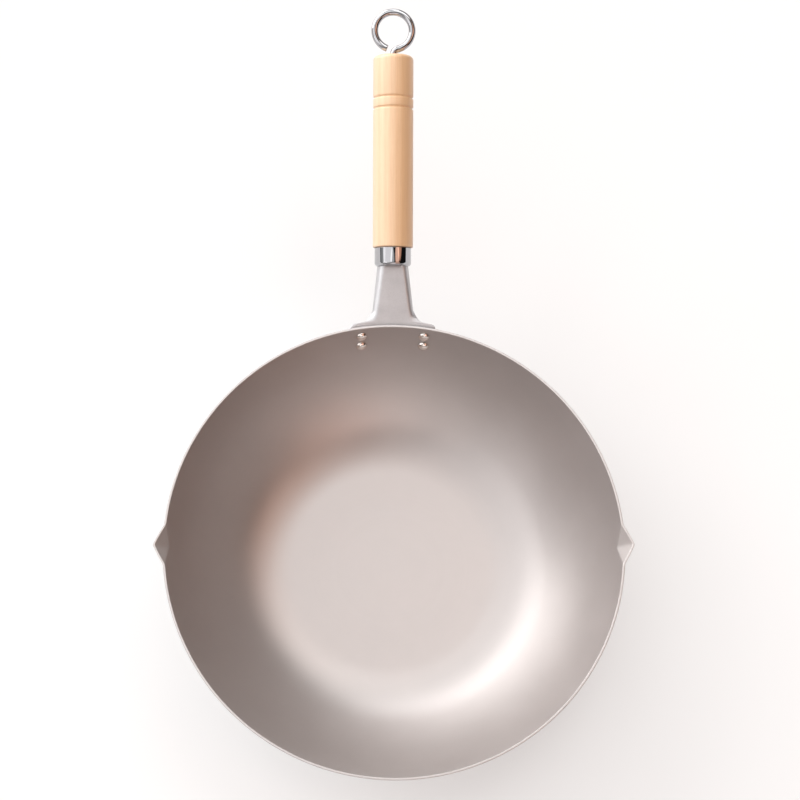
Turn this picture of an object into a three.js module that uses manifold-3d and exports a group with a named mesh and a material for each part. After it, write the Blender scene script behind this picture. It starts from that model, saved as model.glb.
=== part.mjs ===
import * as THREE from 'three';
import { mergeVertices } from 'three/addons/utils/BufferGeometryUtils.js';
import Module from 'manifold-3d';

// Lengths are in millimetres and angles in degrees.
// The origin is the centre of the underside, +Z is up and the handle points along +Y.

// Bowl, measured on its inner face
const RIM_RADIUS = 150;
const BOWL_DEPTH = 82;
const BASE_RADIUS = 68.4;
const CORNER_RADIUS = 62;
const CORNER_ANGLE = 40;
const BOWL_SHEET = 1.6;

// Pouring spouts pressed into the rim on both sides
const SPOUT_REACH = 6.4;
const SPOUT_WIDTH = 25;
const SPOUT_DROP = 9;

// Saddle of the bracket, the part that lies against the wall
const BRACKET_SHEET = 2.4;
const SADDLE_WIDTH = 58;
const SADDLE_TOP = 4.5;
const SADDLE_HEIGHT = 21;
const SADDLE_CORNER = 8;
const WING_CORNER = 2.4;
const WING_RISE = 1.2;
const WING_SLOPE = 0.6;
const BEND_RADIUS = 2.8;

// Neck of the bracket, a channel that narrows towards the ferrule
const HANDLE_RISE = 16;
const NECK_LENGTH = 38.7;
const NECK_ROOT_FACE = 22.3;
const NECK_TIP_FACE = 11.7;
const NECK_FILLET = 4.6;
const FOLD_RADIUS = 2.2;
const FOLD_ANGLE = 74;
const FOLD_RUN = 8;
const FLANK_ROOT = 2;
const FLANK_TIP = 6;

// Tang of the bracket, a strip with a turned-down tab inside the grip
const TANG_WIDTH = 10;
const TANG_SHEET = 2;
const TANG_ROOT = 8;
const TANG_BEND = 1;
const TAB_BELOW_AXIS = 5;

// Rivets
const RIVET_SHANK = 5;
const RIVET_HEAD = 8;
const RIVET_HEAD_HEIGHT = 2;
const RIVET_TAIL = 6.2;
const RIVET_TAIL_FLAT = 4.4;
const RIVET_TAIL_HEIGHT = 1.5;
const RIVET_SPREAD = 42.6;
const RIVET_UPPER = 8.8;
const RIVET_PITCH = 10.3;

// Eye bolt and nut
const ROD_DIAMETER = 4.8;
const NUT_FLATS = 8;
const NUT_THICKNESS = 4;
const ROD_PROTRUSION = 1.5;
const EYE_RADIUS = 12.8;
const EYE_FILLET = 4;
const EYE_END = 249;
const EYE_NECK = 1.2;

// Ferrule
const FERRULE_DIAMETER = 25;
const FERRULE_LENGTH = 12.6;
const FERRULE_WALL = 1;
const FERRULE_EDGE = 2.5;

// Wooden grip
const GRIP_DIAMETER = 27.5;
const GRIP_LENGTH = 131;
const GRIP_TOP_EDGE = 3.2;
const GRIP_LOWER_EDGE = 0.8;
const GROOVE_FIRST = 94.9;
const GROOVE_PITCH = 7.2;
const GROOVE_WIDTH = 2.2;
const GROOVE_DEPTH = 1.1;

// Fits
const SEAT = 0.3;
const HOLE_CLEARANCE = 0.3;

// Fineness of the round faces
const BOWL_COLUMNS = 104;
const SPOUT_CROWDING = 0.65;
const TURNED_COLUMNS = 32;
const RIVET_COLUMNS = 14;
const HOLE_COLUMNS = 20;
const ARC_STEPS = 4;
const WALL_STEPS = 8;
const SPOUT_STEPS = 3;
const FOLD_STEPS = 3;
const RING_STEPS = 28;

const BRUSHED = { color: 0xb9b2ae, roughness: 0.45, metalness: 0.9 };
const PRESSED = { color: 0xc6c1c0, roughness: 0.5, metalness: 0.9 };
const PLATED = { color: 0xd9d9dc, roughness: 0.12, metalness: 1 };
const OILED = { color: 0xd9a972, roughness: 0.6, metalness: 0 };

const wasm = await Module();
wasm.setup();

const radians = THREE.MathUtils.degToRad;
const smooth = THREE.MathUtils.smoothstep;
const mix = THREE.MathUtils.lerp;

function toSolid(geometry) {
  geometry.deleteAttribute('normal');
  geometry.deleteAttribute('uv');
  const welded = mergeVertices(geometry, 1e-4);
  const corners = welded.index.array;
  const kept = [];
  for (let i = 0; i < corners.length; i += 3) {
    const [a, b, c] = corners.subarray(i, i + 3);
    if (a !== b && b !== c && c !== a) kept.push(a, b, c);
  }
  const mesh = new wasm.Mesh({
    numProp: 3,
    vertProperties: Float32Array.from(welded.attributes.position.array),
    triVerts: Uint32Array.from(kept),
  });
  mesh.merge();
  return new wasm.Manifold(mesh);
}

function toGeometry(solid) {
  const mesh = solid.getMesh();
  const geometry = new THREE.BufferGeometry();
  geometry.setAttribute('position', new THREE.BufferAttribute(mesh.vertProperties, 3));
  geometry.setIndex(new THREE.BufferAttribute(mesh.triVerts, 1));
  return geometry;
}

// Point on an arc that leaves start along heading and turns by turn over its length.
function arcPoint(start, heading, turn, length, part) {
  const half = (turn * part) / 2;
  const reach = length * part * (half === 0 ? 1 : Math.sin(half) / half);
  return new THREE.Vector2(
    start.x + reach * Math.cos(heading + half),
    start.y + reach * Math.sin(heading + half),
  );
}

// Profile of the bowl
const cornerTurn = radians(CORNER_ANGLE);
const cornerStart = new THREE.Vector2(BASE_RADIUS, BOWL_SHEET);
const cornerLength = CORNER_RADIUS * cornerTurn;
const wallStart = arcPoint(cornerStart, 0, cornerTurn, cornerLength, 1);
const rimInner = new THREE.Vector2(RIM_RADIUS, BOWL_SHEET + BOWL_DEPTH);
const wallChord = rimInner.clone().sub(wallStart);
const wallTurn = 2 * (wallChord.angle() - cornerTurn);
const wallLength = (wallChord.length() * wallTurn) / 2 / Math.sin(wallTurn / 2);
const rimSlope = cornerTurn + wallTurn;

// Point beside the wall's inner face, down below the rim and out from the face.
function wallPoint(down, out) {
  const part = 1 - down / wallLength;
  const slope = cornerTurn + wallTurn * part;
  const point = arcPoint(wallStart, cornerTurn, wallTurn, wallLength, part);
  point.x += out * Math.sin(slope);
  point.y -= out * Math.cos(slope);
  return { point, slope };
}

function cornerPoint(part, out) {
  const slope = cornerTurn * part;
  const point = arcPoint(cornerStart, 0, cornerTurn, cornerLength, part);
  point.x += out * Math.sin(slope);
  point.y -= out * Math.cos(slope);
  return point;
}

function bowlSkin(out) {
  const skin = [];
  for (let i = 0; i <= ARC_STEPS; i += 1) {
    skin.push({ point: cornerPoint(i / ARC_STEPS, out), down: wallLength });
  }
  const spoutEdge = Math.min(SPOUT_DROP, wallLength / 2);
  for (let i = WALL_STEPS - 1; i > 0; i -= 1) {
    const down = mix(spoutEdge, wallLength, i / WALL_STEPS);
    skin.push({ point: wallPoint(down, out).point, down });
  }
  for (let i = SPOUT_STEPS; i > 0; i -= 1) {
    const down = (spoutEdge * i) / SPOUT_STEPS;
    skin.push({ point: wallPoint(down, out).point, down });
  }
  return skin;
}

function makeBowl() {
  const rimOuter = rimInner.clone();
  rimOuter.x += BOWL_SHEET / Math.sin(rimSlope);
  const profile = [
    { point: new THREE.Vector2(0, 0), down: wallLength },
    ...bowlSkin(BOWL_SHEET),
    { point: rimOuter, down: 0 },
    { point: rimInner, down: 0 },
    ...bowlSkin(0).reverse(),
    { point: new THREE.Vector2(0, BOWL_SHEET), down: wallLength },
  ];
  const geometry = new THREE.LatheGeometry(profile.map((entry) => entry.point), BOWL_COLUMNS);
  const position = geometry.attributes.position;
  for (let i = 0; i < position.count; i += 1) {
    const { point, down } = profile[i % profile.length];
    const column = Math.floor(i / profile.length) % BOWL_COLUMNS;
    const even = (2 * Math.PI * column) / BOWL_COLUMNS;
    const angle = even - (SPOUT_CROWDING / 2) * Math.sin(2 * even);
    const along = RIM_RADIUS * Math.asin(Math.abs(Math.sin(angle)));
    const push = SPOUT_REACH * Math.max(0, 1 - (2 * along) / SPOUT_WIDTH - down / SPOUT_DROP);
    const radius = point.x + push;
    position.setXYZ(i, radius * Math.cos(angle), radius * Math.sin(angle), point.y);
  }
  return toSolid(geometry);
}

// Middle line of the bracket's sheet in the plane of the handle
const rise = radians(HANDLE_RISE);
const wallOffset = BOWL_SHEET + SEAT + BRACKET_SHEET / 2;
const bendStart = wallPoint(SADDLE_TOP, wallOffset);
const bendTurn = rise - bendStart.slope;
const bendLength = BEND_RADIUS * Math.abs(bendTurn);
const bendEnd = arcPoint(bendStart.point, bendStart.slope, bendTurn, bendLength, 1);
const neckStart = SADDLE_HEIGHT + bendLength;
const neckEnd = neckStart + NECK_LENGTH;
const wingTop = neckStart + WING_RISE;
const foldEnd = wingTop + FOLD_RUN;
const filletEnd = wingTop + WING_SLOPE + NECK_FILLET;

function spine(along) {
  if (along <= SADDLE_HEIGHT) return wallPoint(SADDLE_TOP + SADDLE_HEIGHT - along, wallOffset);
  const part = Math.min((along - SADDLE_HEIGHT) / bendLength, 1);
  const point = arcPoint(bendStart.point, bendStart.slope, bendTurn, bendLength, part);
  const straight = Math.max(along - neckStart, 0);
  point.x += straight * Math.cos(rise);
  point.y += straight * Math.sin(rise);
  return { point, slope: bendStart.slope + bendTurn * part };
}

const foldTurn = radians(FOLD_ANGLE);
const foldLength = FOLD_RADIUS * foldTurn;
const rootHalf = NECK_ROOT_FACE / 2 + foldLength + FLANK_ROOT;
const tipHalf = NECK_TIP_FACE / 2 + foldLength + FLANK_TIP;

function faceHalf(along) {
  return mix(NECK_ROOT_FACE, NECK_TIP_FACE, (along - neckStart) / NECK_LENGTH) / 2;
}

// Point in the middle of the bracket's sheet, along its spine and across it.
function sheetPoint(along, across) {
  const { point, slope } = spine(along);
  const folded = smooth(along, wingTop, foldEnd);
  const fold = foldTurn * folded;
  const face = Math.min(faceHalf(along), Math.abs(across));
  const bent = Math.min(Math.abs(across) - face, foldLength);
  const rest = Math.abs(across) - face - bent;
  const part = bent / foldLength;
  const edge = arcPoint(new THREE.Vector2(face, 0), 0, -fold, foldLength, part);
  const reach = Math.sign(across) * (edge.x + rest * Math.cos(fold));
  const lift = edge.y - rest * Math.sin(fold);
  const radius = point.x - lift * Math.sin(slope);
  const height = point.y + lift * Math.cos(slope);
  const angle = reach / radius;
  return new THREE.Vector3(
    mix(radius * Math.sin(angle), reach, folded),
    mix(radius * Math.cos(angle), radius, folded),
    height,
  );
}

function sheetNormal(along, across) {
  const step = 0.05;
  const forward = sheetPoint(along + step, across).sub(sheetPoint(along - step, across));
  const sideways = sheetPoint(along, across + step).sub(sheetPoint(along, across - step));
  return sideways.cross(forward).normalize();
}

// Outline of half the flat sheet, x across and y along the spine
function bracketOutline() {
  const half = SADDLE_WIDTH / 2;
  const outline = new THREE.Path();
  outline.moveTo(half - SADDLE_CORNER, 0);
  outline.absarc(half - SADDLE_CORNER, SADDLE_CORNER, SADDLE_CORNER, -Math.PI / 2, 0);
  outline.lineTo(half, SADDLE_HEIGHT / 2);
  outline.lineTo(half, SADDLE_HEIGHT);
  outline.lineTo(half, mix(SADDLE_HEIGHT, wingTop - WING_CORNER, 0.5));
  outline.lineTo(half, wingTop - WING_CORNER);
  outline.absarc(half - WING_CORNER, wingTop - WING_CORNER, WING_CORNER, 0, Math.PI / 2);
  outline.absarc(rootHalf + NECK_FILLET, filletEnd, NECK_FILLET, -Math.PI / 2, -Math.PI, true);
  for (const along of [mix(filletEnd, foldEnd, 0.5), foldEnd, neckEnd]) {
    outline.lineTo(mix(rootHalf, tipHalf, (along - neckStart) / NECK_LENGTH), along);
  }
  return outline.getPoints(ARC_STEPS / 2);
}

function bracketColumns(along, half) {
  const face = Math.min(faceHalf(along), half - 2 * foldLength);
  const columns = [0, face / 2, face];
  for (let i = 1; i <= FOLD_STEPS; i += 1) columns.push(face + (foldLength * i) / FOLD_STEPS);
  columns.push(mix(face + foldLength, half, 0.5), half);
  const mirrored = columns.slice(1).reverse().map((across) => -across);
  return [...mirrored, ...columns];
}

function makeChannel() {
  const rows = bracketOutline().map(({ x, y }) => ({ along: y, columns: bracketColumns(y, x) }));
  const width = rows[0].columns.length;
  const layer = rows.length * width;
  const points = [];
  for (const side of [0.5, -0.5]) {
    for (const { along, columns } of rows) {
      for (const across of columns) {
        const offset = sheetNormal(along, across).multiplyScalar(side * BRACKET_SHEET);
        points.push(...sheetPoint(along, across).add(offset).toArray());
      }
    }
  }
  const faces = [];
  const quad = (a, b, c, d) => faces.push(a, b, c, a, c, d);
  for (let i = 0; i + 1 < rows.length; i += 1) {
    for (let j = 0; j + 1 < width; j += 1) {
      const a = i * width + j;
      quad(a, a + 1, a + width + 1, a + width);
      quad(layer + a + width, layer + a + width + 1, layer + a + 1, layer + a);
    }
    const left = i * width;
    quad(left, left + width, layer + left + width, layer + left);
    const right = left + width - 1;
    quad(right + width, right, layer + right, layer + right + width);
  }
  for (let j = 0; j + 1 < width; j += 1) {
    quad(j + 1, j, layer + j, layer + j + 1);
    const last = layer - width + j;
    quad(last, last + 1, layer + last + 1, layer + last);
  }
  const geometry = new THREE.BufferGeometry();
  geometry.setAttribute('position', new THREE.Float32BufferAttribute(points, 3));
  geometry.setIndex(faces);
  return toSolid(geometry);
}

// Frame of the handle: z runs out along its axis from the bend and y points down
const axisDrop = TANG_SHEET / 2 + TANG_BEND + NUT_FLATS / 2;
const handleDown = new THREE.Vector3(0, Math.sin(rise), -Math.cos(rise));
const handleOut = new THREE.Vector3(0, Math.cos(rise), Math.sin(rise));
const handleFrame = new THREE.Matrix4()
  .makeBasis(new THREE.Vector3(1, 0, 0), handleDown, handleOut)
  .setPosition(0, bendEnd.x + axisDrop * handleDown.y, bendEnd.y + axisDrop * handleDown.z);

// Places along the axis of the handle
const ferruleFoot = NECK_LENGTH + SEAT;
const gripShoulder = ferruleFoot + FERRULE_LENGTH + SEAT;
const gripTop = gripShoulder + GRIP_LENGTH;
const spigotFoot = ferruleFoot + FERRULE_WALL + SEAT;
const rodEnd = spigotFoot + SEAT;
const nutFoot = rodEnd + ROD_PROTRUSION;
const tabFoot = nutFoot + NUT_THICKNESS + SEAT;
const tangEnd = tabFoot + TANG_SHEET;
const mortiseEnd = tangEnd + SEAT;
const eyeCentre = gripTop + EYE_NECK + Math.sqrt(EYE_RADIUS ** 2 + 2 * EYE_RADIUS * EYE_FILLET);

function turned(profile, columns) {
  return toSolid(new THREE.LatheGeometry(profile, columns).rotateX(Math.PI / 2));
}

function bar(radius, start, end) {
  const geometry = new THREE.CylinderGeometry(radius, radius, end - start, HOLE_COLUMNS);
  return toSolid(geometry.rotateX(Math.PI / 2).translate(0, 0, (start + end) / 2));
}

function onHandle(solid) {
  return solid.transform(handleFrame.elements);
}

// Opening through the foot of the grip that lets the tang, the tab and the nut pass
function socket(start, end) {
  const width = Math.max(TANG_WIDTH, (NUT_FLATS * 2) / Math.sqrt(3)) + 2 * SEAT;
  const above = axisDrop + TANG_SHEET / 2 + SEAT;
  const below = TAB_BELOW_AXIS + SEAT;
  const geometry = new THREE.BoxGeometry(width, above + below, end - start);
  return toSolid(geometry.translate(0, (below - above) / 2, (start + end) / 2));
}

function makeTang() {
  const outer = TANG_BEND + TANG_SHEET;
  const high = axisDrop + TANG_SHEET / 2;
  const low = axisDrop - TANG_SHEET / 2;
  const bendAlong = tangEnd - outer;
  const bendUp = high - outer;
  const side = new THREE.Shape();
  side.moveTo(NECK_LENGTH - TANG_ROOT, low);
  side.lineTo(bendAlong, low);
  side.absarc(bendAlong, bendUp, TANG_BEND, Math.PI / 2, 0, true);
  side.lineTo(tabFoot, -TAB_BELOW_AXIS);
  side.lineTo(tangEnd, -TAB_BELOW_AXIS);
  side.absarc(bendAlong, bendUp, outer, 0, Math.PI / 2);
  side.lineTo(NECK_LENGTH - TANG_ROOT, high);
  const options = { depth: TANG_WIDTH, bevelEnabled: false, curveSegments: ARC_STEPS };
  const geometry = new THREE.ExtrudeGeometry(side, options).translate(0, 0, -TANG_WIDTH / 2);
  const turn = new THREE.Matrix4().makeBasis(
    new THREE.Vector3(0, 0, 1),
    new THREE.Vector3(0, -1, 0),
    new THREE.Vector3(1, 0, 0),
  );
  const hole = bar(ROD_DIAMETER / 2 + HOLE_CLEARANCE, tabFoot - SEAT, tangEnd + SEAT);
  return onHandle(toSolid(geometry.applyMatrix4(turn)).subtract(hole));
}

// Rivets: z of each frame points from the wall's inner face into the bowl
const rivetPlaces = [
  { name: 'rivet_upper_left', side: -1, down: RIVET_UPPER },
  { name: 'rivet_upper_right', side: 1, down: RIVET_UPPER },
  { name: 'rivet_lower_left', side: -1, down: RIVET_UPPER + RIVET_PITCH },
  { name: 'rivet_lower_right', side: 1, down: RIVET_UPPER + RIVET_PITCH },
].map(({ name, side, down }) => {
  const { point, slope } = wallPoint(down, 0);
  const angle = (side * RIVET_SPREAD) / 2 / point.x;
  const frame = new THREE.Matrix4()
    .makeRotationZ(-angle)
    .multiply(new THREE.Matrix4().makeTranslation(0, point.x, point.y))
    .multiply(new THREE.Matrix4().makeRotationX(slope));
  return { name, frame };
});
const gripThickness = BOWL_SHEET + SEAT + BRACKET_SHEET;

function makeRivet(frame) {
  const shank = RIVET_SHANK / 2;
  const tailTop = -gripThickness - SEAT;
  const profile = [new THREE.Vector2(0, tailTop - RIVET_TAIL_HEIGHT)];
  profile.push(new THREE.Vector2(RIVET_TAIL_FLAT / 2, tailTop - RIVET_TAIL_HEIGHT));
  profile.push(new THREE.Vector2(RIVET_TAIL / 2, tailTop - RIVET_TAIL_HEIGHT / 2));
  profile.push(new THREE.Vector2(RIVET_TAIL / 2, tailTop));
  profile.push(new THREE.Vector2(shank, tailTop));
  profile.push(new THREE.Vector2(shank, SEAT));
  for (let i = 0; i <= ARC_STEPS; i += 1) {
    const lean = ((Math.PI / 2) * i) / ARC_STEPS;
    const radius = i < ARC_STEPS ? (RIVET_HEAD / 2) * Math.cos(lean) : 0;
    profile.push(new THREE.Vector2(radius, SEAT + RIVET_HEAD_HEIGHT * Math.sin(lean)));
  }
  return turned(profile, RIVET_COLUMNS).transform(frame.elements);
}

function drillRivetHoles(solid) {
  const depth = gripThickness + 2 * RIVET_HEAD_HEIGHT;
  const hole = bar(RIVET_SHANK / 2 + HOLE_CLEARANCE, -depth, RIVET_HEAD);
  return rivetPlaces.reduce(
    (drilled, { frame }) => drilled.subtract(hole.transform(frame.elements)),
    solid,
  );
}

function makeNut() {
  const radius = NUT_FLATS / Math.sqrt(3);
  const hexagon = new THREE.CylinderGeometry(
    radius, radius, NUT_THICKNESS, 6, 1, false, Math.PI / 2,
  );
  hexagon.rotateX(Math.PI / 2).translate(0, 0, nutFoot + NUT_THICKNESS / 2);
  const bore = bar(ROD_DIAMETER / 2 + HOLE_CLEARANCE, rodEnd, tabFoot);
  return onHandle(toSolid(hexagon).subtract(bore));
}

function makeFerrule() {
  const outer = FERRULE_DIAMETER / 2;
  const inner = outer - FERRULE_WALL;
  const inside = FERRULE_EDGE - FERRULE_WALL;
  const top = ferruleFoot + FERRULE_LENGTH;
  const centre = ferruleFoot + FERRULE_EDGE;
  const cup = new THREE.Path();
  cup.moveTo(0, ferruleFoot);
  cup.lineTo(outer - FERRULE_EDGE, ferruleFoot);
  cup.absarc(outer - FERRULE_EDGE, centre, FERRULE_EDGE, -Math.PI / 2, 0);
  cup.lineTo(outer, top);
  cup.lineTo(inner, top);
  cup.absarc(outer - FERRULE_EDGE, centre, inside, 0, -Math.PI / 2, true);
  cup.lineTo(0, ferruleFoot + FERRULE_WALL);
  const shell = turned(cup.getPoints(ARC_STEPS / 2), TURNED_COLUMNS);
  return onHandle(shell.subtract(socket(ferruleFoot - SEAT, spigotFoot)));
}

function makeGrip() {
  const outer = GRIP_DIAMETER / 2;
  const bore = ROD_DIAMETER / 2 + HOLE_CLEARANCE;
  const spigot = FERRULE_DIAMETER / 2 - FERRULE_WALL - SEAT;
  const chamfer = FERRULE_EDGE - FERRULE_WALL;
  const side = new THREE.Path();
  side.moveTo(bore, spigotFoot);
  side.lineTo(spigot - chamfer, spigotFoot);
  side.lineTo(spigot, spigotFoot + chamfer);
  side.lineTo(spigot, gripShoulder);
  side.lineTo(outer - GRIP_LOWER_EDGE, gripShoulder);
  side.lineTo(outer, gripShoulder + GRIP_LOWER_EDGE);
  for (const groove of [GROOVE_FIRST, GROOVE_FIRST + GROOVE_PITCH]) {
    side.lineTo(outer, gripShoulder + groove - GROOVE_WIDTH / 2);
    side.lineTo(outer - GROOVE_DEPTH, gripShoulder + groove);
    side.lineTo(outer, gripShoulder + groove + GROOVE_WIDTH / 2);
  }
  side.absarc(outer - GRIP_TOP_EDGE, gripTop - GRIP_TOP_EDGE, GRIP_TOP_EDGE, 0, Math.PI / 2);
  side.lineTo(bore, gripTop);
  side.lineTo(bore, spigotFoot);
  const body = turned(side.getPoints(ARC_STEPS / 2), TURNED_COLUMNS);
  return onHandle(body.subtract(socket(spigotFoot - SEAT, mortiseEnd)));
}

// Centre line of the eye bolt: a straight shank, a small turn aside, then the open ring
const shankSteps = 1;
const filletSteps = ARC_STEPS;
const eyeSteps = shankSteps + filletSteps + RING_STEPS;

class EyeLine extends THREE.Curve {
  getPoint(part) {
    const step = part * eyeSteps;
    const shankTop = gripTop + EYE_NECK;
    const join = Math.acos(EYE_FILLET / (EYE_RADIUS + EYE_FILLET));
    if (step <= shankSteps) {
      return new THREE.Vector3(0, 0, mix(rodEnd, shankTop, step / shankSteps));
    }
    if (step <= shankSteps + filletSteps) {
      const turn = Math.PI - ((Math.PI - join) * (step - shankSteps)) / filletSteps;
      return new THREE.Vector3(
        EYE_FILLET + EYE_FILLET * Math.cos(turn),
        0,
        shankTop + EYE_FILLET * Math.sin(turn),
      );
    }
    const round = (step - shankSteps - filletSteps) / RING_STEPS;
    const turn = mix(-join, radians(EYE_END), round);
    return new THREE.Vector3(
      EYE_RADIUS * Math.cos(turn),
      0,
      eyeCentre + EYE_RADIUS * Math.sin(turn),
    );
  }

  getUtoTmapping(part) {
    return part;
  }
}

function makeEyeBolt() {
  const round = new THREE.Shape().absarc(0, 0, ROD_DIAMETER / 2, 0, 2 * Math.PI);
  const options = { steps: eyeSteps, curveSegments: 2 * ARC_STEPS, extrudePath: new EyeLine() };
  return onHandle(toSolid(new THREE.ExtrudeGeometry(round, options)));
}

const group = new THREE.Group();

function addPiece(name, solid, look) {
  const piece = new THREE.Mesh(toGeometry(solid), new THREE.MeshStandardMaterial(look));
  piece.name = name;
  group.add(piece);
}

addPiece('bowl', drillRivetHoles(makeBowl()), BRUSHED);
addPiece('handle_bracket', drillRivetHoles(makeChannel().add(makeTang())), PRESSED);
for (const { name, frame } of rivetPlaces) addPiece(name, makeRivet(frame), PRESSED);
addPiece('clamp_nut', makeNut(), PLATED);
addPiece('ferrule', makeFerrule(), PLATED);
addPiece('wood_grip', makeGrip(), OILED);
addPiece('eye_bolt', makeEyeBolt(), PLATED);

export default group;
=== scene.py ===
import math

import bmesh
import bpy
from mathutils import Matrix, Vector


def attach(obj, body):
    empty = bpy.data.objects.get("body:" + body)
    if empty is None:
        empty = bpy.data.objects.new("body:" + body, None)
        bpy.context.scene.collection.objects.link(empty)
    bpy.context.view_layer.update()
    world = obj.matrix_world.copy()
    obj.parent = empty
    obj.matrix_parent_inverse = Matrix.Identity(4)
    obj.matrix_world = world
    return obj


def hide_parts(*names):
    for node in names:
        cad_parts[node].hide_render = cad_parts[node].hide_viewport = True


# A wok: a pressed steel bowl with two spouts, a riveted bracket, a ferrule, a wooden grip and an eye bolt.
# Lengths are in metres in the frame's axes. The handle points along +Y and the spouts lie on the X axis.

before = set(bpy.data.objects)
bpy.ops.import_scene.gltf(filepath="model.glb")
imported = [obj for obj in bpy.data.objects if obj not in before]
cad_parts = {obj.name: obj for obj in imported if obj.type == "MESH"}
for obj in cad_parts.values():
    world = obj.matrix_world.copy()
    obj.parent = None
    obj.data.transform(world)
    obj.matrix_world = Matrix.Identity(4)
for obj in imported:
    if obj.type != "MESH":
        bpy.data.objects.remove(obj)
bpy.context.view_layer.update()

# Bowl, measured on its inner face
RIM_RADIUS = 0.150
BOWL_DEPTH = 0.082
BASE_RADIUS = 0.0684
CORNER_RADIUS = 0.062
CORNER_TURN = math.radians(40)
BOWL_SHEET = 0.0016
RIM_EDGE = 0.00035

# Pouring spouts
SPOUT_REACH = 0.0064
SPOUT_WIDTH = 0.025
SPOUT_DROP = 0.009
SPOUT_CREASE = 0.0007
SPOUT_SOFTNESS = 0.07

# Bracket: a saddle on the wall, a bend and a channel-shaped neck
BRACKET_SHEET = 0.0024
BRACKET_EDGE = 0.0006
SADDLE_WIDTH = 0.058
SADDLE_TOP = 0.0045
SADDLE_HEIGHT = 0.021
SADDLE_CORNER = 0.008
WING_CORNER = 0.0024
WING_RISE = 0.0012
WING_SLOPE = 0.0006
BEND_RADIUS = 0.0028
HANDLE_RISE = math.radians(16)
NECK_LENGTH = 0.0387
NECK_ROOT_FACE = 0.0223
NECK_TIP_FACE = 0.0117
NECK_FILLET = 0.0046
FOLD_RADIUS = 0.0022
FOLD_TURN = math.radians(74)
FOLD_RUN = 0.008
FLANK_ROOT = 0.002
FLANK_TIP = 0.006

# Tang: a strip inside the grip with a turned-down tab
TANG_WIDTH = 0.010
TANG_SHEET = 0.002
TANG_ROOT = 0.008
TANG_BEND = 0.001
TAB_BELOW_AXIS = 0.005

# Rivets
RIVET_SHANK = 0.005
RIVET_HEAD = 0.008
RIVET_HEAD_HEIGHT = 0.002
RIVET_TAIL = 0.0062
RIVET_TAIL_FLAT = 0.0044
RIVET_TAIL_HEIGHT = 0.0015
RIVET_SPREAD = 0.0426
RIVET_UPPER = 0.0088
RIVET_PITCH = 0.0103

# Eye bolt and nut
ROD_DIAMETER = 0.0048
NUT_FLATS = 0.008
NUT_THICKNESS = 0.004
ROD_PROTRUSION = 0.0015
EYE_RADIUS = 0.0128
EYE_FILLET = 0.004
EYE_END = math.radians(249)
EYE_NECK = 0.0012
WIRE_EDGE = 0.0004
THREAD_PITCH = 0.0008
THREAD_DEPTH = 0.00022
THREAD_LENGTH = 0.012

# Ferrule
FERRULE_DIAMETER = 0.025
FERRULE_LENGTH = 0.0126
FERRULE_WALL = 0.001
FERRULE_EDGE = 0.0025
FERRULE_LIP = 0.0003

# Wooden grip
GRIP_DIAMETER = 0.0275
GRIP_LENGTH = 0.131
GRIP_TOP_EDGE = 0.0032
GRIP_LOWER_EDGE = 0.0008
GROOVE_FIRST = 0.0949
GROOVE_PITCH = 0.0072
GROOVE_WIDTH = 0.0022
GROOVE_DEPTH = 0.0011
GROOVE_EDGE = 0.0004
BORE_EDGE = 0.0006

# Fits
SEAT = 0.0003
HOLE_CLEARANCE = 0.0003

# Fineness of the meshes
BOWL_COLUMNS = 320
SPOUT_CROWDING = 0.65
TURNED_COLUMNS = 96
RIVET_COLUMNS = 40
WIRE_SIDES = 28
ARC_STEP = math.radians(12)
SMOOTH_ANGLE = math.radians(32)
MERGE_DISTANCE = 1e-7
BASE_RINGS = (0, 0.3, 0.65)


def mix(low, high, part):
    return low + (high - low) * part


def smooth(value, low, high):
    part = min(max((value - low) / (high - low), 0), 1)
    return part * part * (3 - 2 * part)


def arc_point(start, heading, turn, length, part):
    """Point on an arc that leaves start along heading and turns by turn over its length."""
    half = turn * part / 2
    reach = length * part * (math.sin(half) / half if half else 1)
    return start + reach * Vector((math.cos(heading + half), math.sin(heading + half)))


def rounded(corners):
    """Outline through the corners (x, y, radius), with each corner rounded to its radius."""
    outline = []
    for index, (x, y, radius) in enumerate(corners):
        corner = Vector((x, y))
        if radius == 0:
            outline.append(corner)
            continue
        before = (Vector(corners[index - 1][:2]) - corner).normalized()
        after = (Vector(corners[index + 1][:2]) - corner).normalized()
        turn = math.pi - before.angle(after)
        middle = corner + (before + after).normalized() * radius / math.cos(turn / 2)
        start = corner + before * radius * math.tan(turn / 2) - middle
        sense = math.copysign(turn, after.cross(before))
        steps = max(2, math.ceil(turn / ARC_STEP))
        for step in range(steps + 1):
            spin = Matrix.Rotation(sense * step / steps, 2)
            outline.append(middle + spin @ start)
    return outline


def mesh_object(name, points, faces):
    mesh = bpy.data.meshes.new(name)
    mesh.from_pydata([tuple(point) for point in points], [], faces)
    piece = bpy.data.objects.new(name, mesh)
    bpy.context.scene.collection.objects.link(piece)
    clean(piece)
    return piece


def clean(piece):
    """Merges doubled points, turns the faces outwards and shades smooth between sharp edges."""
    shape = bmesh.new()
    shape.from_mesh(piece.data)
    bmesh.ops.remove_doubles(shape, verts=shape.verts, dist=MERGE_DISTANCE)
    bmesh.ops.dissolve_degenerate(shape, edges=shape.edges, dist=MERGE_DISTANCE)
    bmesh.ops.recalc_face_normals(shape, faces=shape.faces)
    for face in shape.faces:
        face.smooth = True
    for edge in shape.edges:
        edge.smooth = len(edge.link_faces) == 2 and edge.calc_face_angle() < SMOOTH_ANGLE
    shape.to_mesh(piece.data)
    shape.free()


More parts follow.
